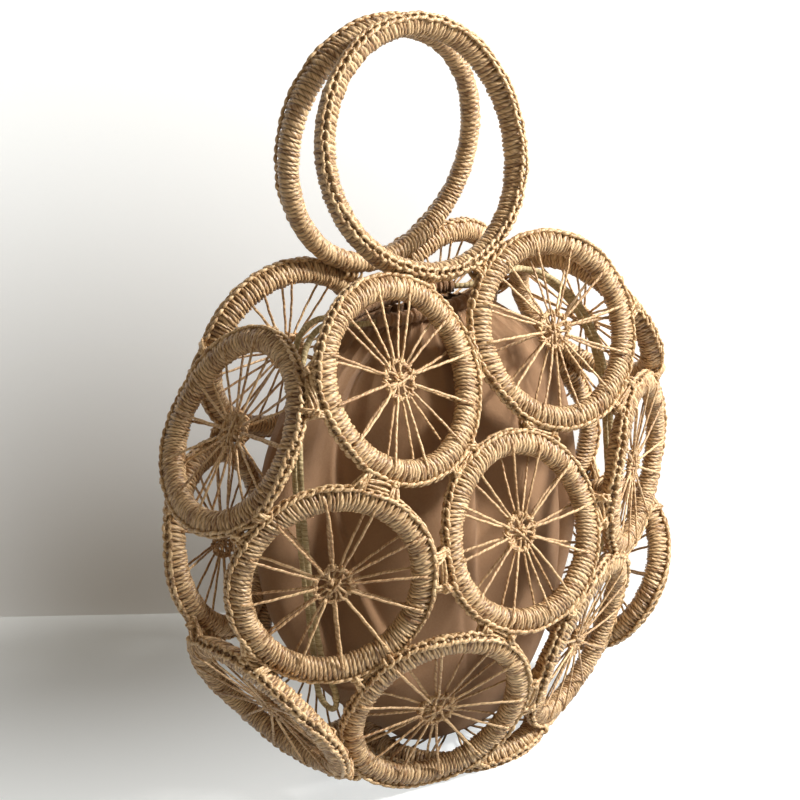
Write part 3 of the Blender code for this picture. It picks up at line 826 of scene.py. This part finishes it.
def seam(first, first_radius, second, second_radius, offsets):
    """Where two rims lie side by side, at distances along the first from where they are closest:
    a point on each, and the direction along the first."""
    angles = 2 * math.pi * np.arange(RIM_SAMPLES) / RIM_SAMPLES
    around = rim_points(first, first_radius, angles)
    gaps = np.linalg.norm(nearest_on_rim(second, second_radius, around) - around, axis=1)
    angle = angles[gaps.argmin()] + offsets / first_radius
    here = rim_points(first, first_radius, angle)
    along = unit(np.cross(first[:3, 2], here - first[:3, 3]))
    return here, nearest_on_rim(second, second_radius, here), along


def wrap_loops(start, end, along, normal, random):
    """Closed loops round two edges at start and end: ovals in the plane of the way between them
    and its normal, p = middle + a cos(t) way + b sin(t) normal, one after another along the rims,
    each slanted and shifted a little. The last ones are the knot: small loops, tilted anyhow."""
    middle = (start + end) / 2
    way = unit(end - start)
    half = np.linalg.norm(end - start) / 2 + WRAP_OVERHANG
    t = 2 * math.pi * np.arange(LOOP_STATIONS) / LOOP_STATIONS
    cosine, sine = np.cos(t)[:, None], np.sin(t)[:, None]
    loops = []
    for turn in range(WRAP_TURNS):
        offset = (turn - (WRAP_TURNS - 1) / 2) * WRAP_PITCH * random.uniform(*WRAP_PITCH_SHARES)
        swing = unit(way + random.uniform(-WRAP_SLANT, WRAP_SLANT) * along)
        depth = WRAP_HALF_DEPTH * random.uniform(*WRAP_DEPTH_SHARES)
        width = half * random.uniform(*WRAP_WIDTH_SHARES)
        loops.append(middle + offset * along + cosine * swing * width + sine * normal * depth)
    lift = WRAP_HALF_DEPTH * random.uniform(*KNOT_LIFT_SHARES)
    shift = half * random.uniform(-KNOT_SHIFT_SHARE, KNOT_SHIFT_SHARE)
    knot = middle + normal * lift + way * shift
    for _ in range(KNOT_TURNS):
        first = unit(random.normal(size=3))
        second = unit(np.cross(first, random.normal(size=3)))
        size = KNOT_RADIUS * random.uniform(*KNOT_SIZE_SHARES)
        loops.append(knot + size * (cosine * first + KNOT_OVAL_SHARE * sine * second))
    return loops


def loose_strands(start, end, normal, random):
    """Strands along the gap, from knot to knot: the middle line between both edges, moved by
    spread cos(a + s t) across the gap and by lift + spread sin(a + s t) / 2 out of the net. A few
    lie on the net's inner side."""
    middle = (start + end) / 2
    way = unit(end - start)
    t = np.linspace(0, 1, LOOP_STATIONS)[:, None]
    paths = []
    for strand in range(RUN_STRANDS):
        face = -1 if strand % 3 == 2 else 1
        phase = 2 * math.pi * strand / RUN_STRANDS + random.uniform(-RUN_WANDER, RUN_WANDER)
        phase = phase + random.uniform(-RUN_TWIST, RUN_TWIST) * t
        lift = RUN_LIFT * random.uniform(*RUN_LIFT_SHARES) * np.sin(math.pi * t) ** 0.3
        lift = lift + RUN_SPREAD / 2 * np.sin(phase)
        paths.append(middle + RUN_SPREAD * np.cos(phase) * way + face * lift * normal)
    return paths


def lace(first, first_radius, second, second_radius, half_length, random):
    """Knots at both ends of a seam and the strands between them, or nothing where the two edges
    lie too far apart."""
    first_edge, second_edge = first_radius + EDGE_RADIUS, second_radius + EDGE_RADIUS
    ends = half_length * np.array([-1, 1]) * random.uniform(*SEAM_LENGTH_SHARES, 2)
    offsets = np.linspace(*ends, LOOP_STATIONS)
    here, there, along = seam(first, first_edge, second, second_edge, offsets)
    gaps = np.linalg.norm(there - here, axis=1)
    if gaps.min() > LACING_REACH:
        return [], []
    normal = np.cross(unit(there - here), along)
    outward = (here + there) / 2 - np.array([0, 0, CENTER_WHEEL_HEIGHT])
    normal = normal * np.sign((normal * outward).sum(axis=1, keepdims=True))
    loops = []
    for station in (0, -1):
        if gaps[station] < LACING_REACH:
            loops += wrap_loops(here[station], there[station], along[station], normal[station], random)
    return loops, loose_strands(here, there, normal, random)


def lacing_mesh(name, paths, random, closed):
    paths = np.array(paths)
    rise = unit(paths - paths.mean(axis=1, keepdims=True)) if closed else RUN_UP
    skin = strands(paths, rise, LACING_RADIUS, SPOKE_SIDES, closed=closed)
    made = cord_mesh(name, skin, stitch_finish, random, closed=closed)
    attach(made, "root")


random = np.random.default_rng(LACING_SEED)
knots, runs = [], []
for first, second in combinations(wheels.values(), 2):
    loops, between = lace(first, HOOP_RADIUS, second, HOOP_RADIUS, KNOT_OFFSET, random)
    knots += loops
    runs += between
lacing_mesh("lacing", knots, random, closed=True)
lacing_mesh("lacing_strands", runs, random, closed=False)


# Handles. Two larger rings wound and edged like the wheels, with their chains towards the bag's
# outside. Each is lashed at two places to the upper wheels of its face, and tips over there.
HANDLE_RADIUS = 0.0592
HANDLE_TURNS = 164
HANDLE_LEAN_DEG = 70
HANDLE_WANDER_DEG = 5
HANDLE_SWING_DEG = 22
HANDLE_SWING_FROM_DEG = -60
LASHING_HALF_LENGTH = 0.0024
HANDLE_SEED = 500

knots = []
for number, face in enumerate(("front", "back")):
    random = np.random.default_rng(HANDLE_SEED + number)
    place = ring_place(f"{face}_handle")
    lean = ridge_lean(HANDLE_LEAN_DEG, HANDLE_WANDER_DEG, random, HANDLE_SWING_DEG, HANDLE_SWING_FROM_DEG)
    phases = random.uniform(0, 2 * math.pi, 3)
    ring = wound_ring_mesh(
        f"{face}_handle_winding", HANDLE_RADIUS, HANDLE_TURNS, place, lean, phases, random, wound_finish
    )
    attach(ring, f"{face}_handle")
    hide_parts(f"{face}_handle")
    skin, shade = chain_edge(HANDLE_RADIUS, HANDLE_TURNS, lean, phases, random)
    edge = cord_mesh(f"{face}_handle_edge", placed(skin, place), stitch_finish, random, shade)
    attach(edge, f"{face}_handle")
    for side in ("left", "right"):
        upper = wheels[f"{face}_upper_{side}"]
        knots += lace(place, HANDLE_RADIUS, upper, HOOP_RADIUS, LASHING_HALF_LENGTH, random)[0]
lacing_mesh("lashings", knots, random, closed=True)


# Pouch. A sleeve of brown cotton, gathered at its mouth, that fills the net and rests on the base
# wheel. Slack cloth falls in soft upright folds.
# height, half width and half depth of its levels
POUCH_LEVELS = [
    (0.2363, 0.0412, 0.0211),
    (0.2262, 0.0583, 0.0272),
    (0.2111, 0.0804, 0.0352),
    (0.1830, 0.1006, 0.0432),
    (0.1428, 0.1106, 0.0473),
    (0.1025, 0.1066, 0.0473),
    (0.0663, 0.0895, 0.0412),
    (0.0352, 0.0654, 0.0322),
    (0.0100, 0.0372, 0.0201),
]
POUCH_ROUND = 400
POUCH_RISE = 120
POUCH_CLOTH = 0.0006
LEVEL_STEP = 0.0001
BOTTOM_SHARES = (0.75, 0.5, 0.25, 0.002)
POUCH_FOLDS = 13
FOLD_STEP_WANDER = 0.3
FOLD_DEPTH = 0.0085
FOLD_DEPTH_SHARES = (0.35, 1.0)
FOLD_FLANK_TURNS = 0.007
FOLD_SLOPE_TURNS = 0.045
FOLD_SLOPE_SHARES = (0.6, 1.4)
FOLD_STARTS = (-0.15, 0.35)
FOLD_ENDS = (0.6, 1.1)
FOLD_LEAN_TURNS = 0.06
FOLD_SWAY_TURNS = (0.004, 0.016)
FOLD_SWAYS = 5
FOLD_FADE_POWER = 0.6
MAIN_FOLD_TURN = 0.655
MAIN_FOLD_LEAN_TURNS = -0.12
MAIN_FOLD_DEPTH = 0.025
MAIN_FOLD_FLANK_TURNS = (0.048, 0.06)
MAIN_FOLD_END_SHARE = 0.75
MAIN_FOLD_FADE_POWER = 0.5
PLEATS = 34
PLEAT_DEPTH = 0.0036
PLEAT_REACH_SHARE = 0.13
PLEAT_SWAY = 0.5
POUCH_WAVES = 5
WAVE_DEPTH = 0.0014
WAVE_LEAN = 4
WAVE_SWAY = 1.5
FLAT_END_SHARE = 0.125
RIGHT_SLACK_SHARE = 0.16
POUCH_SEED = 600


def valley(offset, width, run, power):
    """A fold's depth share: exp(-(x / w)^2) across it, times sin(pi run)^power along it."""
    return np.exp(-((offset / width) ** 2)) * np.sin(math.pi * np.clip(run, 0, 1)) ** power


def fold_depth(turn, down, random):
    """How far folds draw the cloth in, at a place round the sleeve in turns and a share of its
    height. A fold is a valley whose line leans and sways as it runs down, narrow on one side and
    wide on the other. The first is the deep one in front, towards the left."""
    offset = np.mod(turn - MAIN_FOLD_TURN - MAIN_FOLD_LEAN_TURNS * down + 0.5, 1) - 0.5
    width = np.where(offset < 0, *MAIN_FOLD_FLANK_TURNS)
    run = down / MAIN_FOLD_END_SHARE
    depth = MAIN_FOLD_DEPTH * valley(offset, width, run, MAIN_FOLD_FADE_POWER)
    for fold in range(POUCH_FOLDS):
        start, end = random.uniform(*FOLD_STARTS), random.uniform(*FOLD_ENDS)
        lean = random.uniform(-FOLD_LEAN_TURNS, FOLD_LEAN_TURNS)
        sway, phase = random.uniform(*FOLD_SWAY_TURNS), random.uniform(0, 6)
        step = fold + random.uniform(-FOLD_STEP_WANDER, FOLD_STEP_WANDER)
        line = step / POUCH_FOLDS + lean * down + sway * np.sin(FOLD_SWAYS * down + phase)
        offset = (np.mod(turn - line + 0.5, 1) - 0.5) * random.choice([-1, 1])
        slope = FOLD_SLOPE_TURNS * random.uniform(*FOLD_SLOPE_SHARES)
        width = np.where(offset < 0, FOLD_FLANK_TURNS, slope)
        run = (down - start) / (end - start)
        deepest = FOLD_DEPTH * random.uniform(*FOLD_DEPTH_SHARES)
        depth = depth + deepest * valley(offset, width, run, FOLD_FADE_POWER)
    return depth


def pouch_surface(random):
    """Points of the sleeve, [height, round it]: an oval whose half axes follow a smooth curve
    through the levels, slack and so narrower towards the right, and drawn in along its normal by
    the folds, by a slow wave, and at the gathered mouth by pleats |sin|, which fade as
    exp(-(height below it / reach))."""
    route = smooth_route(POUCH_LEVELS, LEVEL_STEP)
    picks = np.linspace(0, len(route) - 1, POUCH_RISE)
    numbers = np.arange(len(route))
    levels = np.stack([np.interp(picks, numbers, route[:, axis]) for axis in range(3)], axis=-1)
    down = np.linspace(0, 1, POUCH_RISE)[:, None]
    turn = np.arange(POUCH_ROUND)[None, :] / POUCH_ROUND
    cosine, sine = np.cos(2 * math.pi * turn), np.sin(2 * math.pi * turn)
    slack = RIGHT_SLACK_SHARE * np.sin(math.pi * down) * np.clip(cosine, 0, 1)
    x, y = levels[:, 1:2] * cosine * (1 - slack), levels[:, 2:3] * sine
    normal = unit(np.stack([cosine / levels[:, 1:2], sine / levels[:, 2:3]], axis=-1))
    gather = np.exp(-down / PLEAT_REACH_SHARE)
    pleat = PLEATS * turn + PLEAT_SWAY * np.sin(6 * math.pi * turn)
    pleat = PLEAT_DEPTH * np.abs(np.sin(math.pi * pleat))
    wave = 2 * math.pi * POUCH_WAVES * turn + WAVE_LEAN * down
    wave = WAVE_DEPTH * (1 + np.sin(wave + WAVE_SWAY * np.sin(4 * math.pi * turn)))
    flat_end = np.clip((1 - down) / FLAT_END_SHARE, 0, 1)
    drawn = gather * pleat + (1 - gather) * flat_end * (fold_depth(turn, down, random) + wave)
    height = levels[:, :1] + 0 * x
    return np.stack([x - normal[..., 0] * drawn, y - normal[..., 1] * drawn, height], axis=-1)


CLOTH_ROUGHNESS = 0.85
THREAD_PAIR = 0.0007
SLUB_SCALE = 900.0
BLOTCH_SCALE = 26.0
SLUB_SHARE = 0.45
BLOTCH_SHARE = 0.6
WEAVE_SHARE = 0.25
DARKER_SHARE = 0.1
SLUB_HEIGHT = 0.0001
WEAVE_HEIGHT = 0.00012
CLOTH_BUMP = 0.8


def cloth_material(name, dark, light):
    """Plain woven cotton: threads both ways as a fine bump from the lay map, and faint slubs."""
    material, tree, shader = new_material(name)
    threads = []
    for socket in lay_place(tree):
        wave = math_node(tree, "SINE", math_node(tree, "MULTIPLY", socket, 2 * math.pi / THREAD_PAIR))
        threads.append(math_node(tree, "ABSOLUTE", wave))
    weave = math_node(tree, "MULTIPLY", *threads)
    place = node(tree, "ShaderNodeTexCoord").outputs["Object"]
    slubs = noise(tree, place, SLUB_SCALE, 3.0)
    blotch = math_node(tree, "MULTIPLY", noise(tree, place, BLOTCH_SCALE, 3.0), BLOTCH_SHARE)
    share = math_node(tree, "MULTIPLY_ADD", slubs, SLUB_SHARE, blotch)
    share = math_node(tree, "SUBTRACT", share, DARKER_SHARE)
    share = math_node(tree, "MULTIPLY_ADD", weave, WEAVE_SHARE, share)
    share = node(tree, "ShaderNodeClamp", sockets={0: share}).outputs[0]
    tree.links.new(mix_color(tree, share, (*dark, 1), (*light, 1)), shader.inputs["Base Color"])
    weave_height = math_node(tree, "MULTIPLY", weave, WEAVE_HEIGHT)
    height = math_node(tree, "MULTIPLY_ADD", slubs, SLUB_HEIGHT, weave_height)
    add_bump(tree, shader, height, CLOTH_BUMP)
    shader.inputs["Roughness"].default_value = CLOTH_ROUGHNESS
    shader.inputs["Sheen Weight"].default_value = 0.08
    shader.inputs["Sheen Roughness"].default_value = 0.5
    return material


def sheet_mesh(name, points, finish, thickness):
    """A cloth sleeve closed round, [row, place], with its lay map in metres and a wall inwards."""
    rows, columns, _ = points.shape
    row, column = np.meshgrid(np.arange(rows - 1), np.arange(columns), indexing="ij")
    row_corner = np.stack([row, row + 1, row + 1, row], axis=-1).reshape(-1, 4)
    column_corner = np.stack([column, column, column + 1, column + 1], axis=-1).reshape(-1, 4)
    faces = row_corner * columns + column_corner % columns
    steps = np.linalg.norm(np.diff(points, axis=0), axis=2).mean(axis=1)
    down = np.concatenate([[0], np.cumsum(steps)])
    waist = points[rows // 2]
    girth = np.linalg.norm(waist - np.roll(waist, 1, axis=0), axis=1).sum()
    lay = np.stack([column_corner / columns * girth, down[row_corner]], axis=-1)
    tone = np.full((rows, columns), 0.5)
    shade = np.zeros((rows, columns))
    made = add_mesh(name, points, faces, np.zeros((0, 4), int), lay, tone, shade, finish)
    wall = made.modifiers.new("wall", "SOLIDIFY")
    wall.thickness = thickness
    wall.offset = -1
    return made


pouch_finish = cloth_material("brown cotton", dark=(0.21, 0.106, 0.047), light=(0.41, 0.238, 0.120))
random = np.random.default_rng(POUCH_SEED)
sleeve = pouch_surface(random)
bottom = sleeve[-1].mean(axis=0)
inner = np.array([bottom + (sleeve[-1] - bottom) * share for share in BOTTOM_SHARES])
pouch = sheet_mesh("pouch_cloth", np.concatenate([sleeve, inner]), pouch_finish, POUCH_CLOTH)
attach(pouch, "root")
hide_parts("pouch")


# Casing. The pouch's mouth is folded over the drawstring and gathered on it, front and back, so
# that the hem puckers into small ruffles round the cord.
CASING_SWEEP_DEG = 118
CASING_RADIUS = 0.0034
CASING_ROUND = 20
CASING_STEPS = 260
CASING_RUFFLES = 19
RUFFLE_SKEW = 0.12
RUFFLE_POWER = 0.7
RUFFLE_LEAST = 0.78
RUFFLE_RISE = 0.42
RUFFLE_TOP_SHARE = 0.3
FINE_RUFFLES = 31
FINE_RUFFLE_RISE = 0.06
MOUTH_HALF_WIDTH = 0.0404
MOUTH_HALF_DEPTH = 0.0203


def casing_path(middle):
    """The stretch of the mouth's oval that one casing covers, round its middle angle."""
    half_sweep = math.radians(CASING_SWEEP_DEG) / 2
    turn = np.linspace(middle - half_sweep, middle + half_sweep, CASING_STEPS)
    x, y = MOUTH_HALF_WIDTH * np.cos(turn), MOUTH_HALF_DEPTH * np.sin(turn)
    return np.stack([x, y, HEM_HEIGHT + 0 * turn], axis=-1)


casing_finish = cloth_material("gathered cotton", dark=(0.19, 0.095, 0.042), light=(0.39, 0.226, 0.114))
for face, middle in (("front", -math.pi / 2), ("back", math.pi / 2)):
    path = casing_path(middle)
    share = np.linspace(0, 1, CASING_STEPS)[:, None]
    turn = 2 * math.pi * np.arange(CASING_ROUND) / CASING_ROUND
    ruffle = np.abs(np.sin(math.pi * (CASING_RUFFLES * share + RUFFLE_SKEW * np.sin(2 * turn))))
    taller = 1 - RUFFLE_TOP_SHARE + RUFFLE_TOP_SHARE * np.sin(turn)
    fine = FINE_RUFFLE_RISE * np.cos(2 * math.pi * FINE_RUFFLES * share + turn)
    ruffle = RUFFLE_LEAST + RUFFLE_RISE * ruffle**RUFFLE_POWER * taller + fine
    skin = strands(path[None], np.array([0, 0, 1.0]), CASING_RADIUS, CASING_ROUND)
    skin = path[None, :, None] + (skin - path[None, :, None]) * ruffle[None, ..., None]
    hem = cord_mesh(f"{face}_hem", skin, casing_finish, random)
    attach(hem, "root")
    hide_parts(f"{face}_casing")


# Floor, wall and light. A pale table top against a white wall, under a soft window light from the
# right and the front, with a weak lamp behind the bag and dim warm light from all around.
FLOOR_EDGE_PIXELS = ((0, 617), (800, 601))
FLOOR_HALF = 3.0
WALL_HEIGHT = 3.0
# Painted light and shade on the floor and wall: their glow fades into painted shade round a corner
# DARK_CORNER_LEFT metres left of the floor edge's middle.
DARK_CORNER_LEFT = 0.16
FADE = 0.42
GLOW_LEAST = 0.02
GLOW_MOST = 0.85
GLOW_COLOR = (0.97, 1.0, 1.0, 1)
BACKDROP_ROUGHNESS = 0.8
FLOOR_COLOR = (0.45, 0.46, 0.45)
WALL_COLOR = (0.66, 0.65, 0.63)
ROOM_LIGHT = 0.20
ROOM_COLOR = (1.0, 0.82, 0.61, 1)
# name, place, size, power in watts and colour
LIGHTS = (
    ("window", (0.72, -0.80, 0.90), 0.26, 31, (1.0, 0.985, 0.97)),
    ("room", (-0.9, -0.6, 0.7), 0.9, 0.8, (1.0, 0.88, 0.72)),
    ("lamp behind", (0.5, 1.1, 0.7), 0.9, 8.0, (1.0, 0.93, 0.84)),
)


def on_floor(pixel):
    """Where the camera's ray through a pixel meets Z = 0."""
    right = (pixel[0] - IMAGE_PIXELS / 2) / FOCAL_PIXELS
    up = (IMAGE_PIXELS / 2 - pixel[1]) / FOCAL_PIXELS
    ray = right * camera_right + up * camera_up - camera_back
    return camera_place - ray * (camera_place.z / ray.z)


def backdrop_material(name, color, corner, see_through=False):
    """A plain pale surface. The camera, gloss and glass see it glow by itself, painted light that is
    white towards the window and fades over FADE metres into painted shade round the far corner, and it
    still takes shadow. A see-through one is there from its front alone, so that the bag shows from behind
    it."""
    material, tree, shader = new_material(name)
    shader.inputs["Base Color"].default_value = (*color, 1)
    shader.inputs["Roughness"].default_value = BACKDROP_ROUGHNESS
    shader.inputs["Specular IOR Level"].default_value = 0
    place = node(tree, "ShaderNodeTexCoord").outputs["Object"]
    away = node(tree, "ShaderNodeVectorMath", operation="DISTANCE", sockets={0: place, 1: tuple(corner)})
    glow = node(tree, "ShaderNodeMapRange", interpolation_type="SMOOTHSTEP", sockets={
        "Value": away.outputs["Value"], "From Min": 0.0, "From Max": FADE,
        "To Min": GLOW_LEAST, "To Max": GLOW_MOST,
    }).outputs[0]
    path = node(tree, "ShaderNodeLightPath").outputs
    seen = math_node(tree, "MAXIMUM", path["Is Camera Ray"], path["Is Glossy Ray"])
    seen = math_node(tree, "MAXIMUM", seen, path["Is Transmission Ray"])
    shader.inputs["Emission Color"].default_value = GLOW_COLOR
    tree.links.new(math_node(tree, "MULTIPLY", glow, seen), shader.inputs["Emission Strength"])
    if see_through:
        behind = node(tree, "ShaderNodeNewGeometry").outputs["Backfacing"]
        clear = math_node(tree, "MAXIMUM", path["Is Shadow Ray"], behind)
        blend = node(tree, "ShaderNodeMixShader", sockets={
            0: clear, 1: shader.outputs[0], 2: node(tree, "ShaderNodeBsdfTransparent").outputs[0],
        })
        tree.links.new(blend.outputs[0], tree.nodes["Material Output"].inputs["Surface"])
    return material


edge_start, edge_end = (on_floor(pixel) for pixel in FLOOR_EDGE_PIXELS)
edge_way = (edge_end - edge_start).normalized()
edge_middle = (edge_start + edge_end) / 2
forward = Vector((-edge_way.y, edge_way.x, 0))
top = Vector((0, 0, WALL_HEIGHT))
side = edge_way * FLOOR_HALF
near = forward * FLOOR_HALF
dark_corner = edge_middle - edge_way * DARK_CORNER_LEFT
for name, color, start, rise in (
    ("floor", FLOOR_COLOR, edge_middle - near, 2 * near),
    ("wall", WALL_COLOR, edge_middle, top),
):
    mesh = bpy.data.meshes.new(name)
    corners = [start - side, start + side, start + side + rise, start - side + rise]
    mesh.from_pydata(corners, [], [(0, 1, 2, 3)])
    mesh.materials.append(backdrop_material(name, color, dark_corner, name == "wall"))
    backdrop = bpy.data.objects.new(name, mesh)
    scene.collection.objects.link(backdrop)

world = bpy.data.worlds.new("surroundings")
world.use_nodes = True
tree = world.node_tree
room = tree.nodes["Background"]
room.inputs["Color"].default_value = ROOM_COLOR
room.inputs["Strength"].default_value = ROOM_LIGHT
white = node(tree, "ShaderNodeBackground", sockets={"Color": (1, 1, 1, 1), "Strength": 1.0})
path = node(tree, "ShaderNodeLightPath").outputs
blend = node(tree, "ShaderNodeMixShader", sockets={
    0: path["Is Camera Ray"], 1: room.outputs[0], 2: white.outputs[0],
})
tree.links.new(blend.outputs[0], tree.nodes["World Output"].inputs["Surface"])
scene.world = world


def soft_light(name, place, size, power, color):
    """A square area light that faces the bag's middle."""
    data = bpy.data.lights.new(name, "AREA")
    data.size = size
    data.energy = power
    data.color = color
    lamp = bpy.data.objects.new(name, data)
    lamp.location = place
    way = Vector(place) - Vector((0, 0, CENTER_WHEEL_HEIGHT))
    lamp.rotation_euler = way.to_track_quat("Z", "Y").to_euler()
    scene.collection.objects.link(lamp)


for light in LIGHTS:
    soft_light(*light)
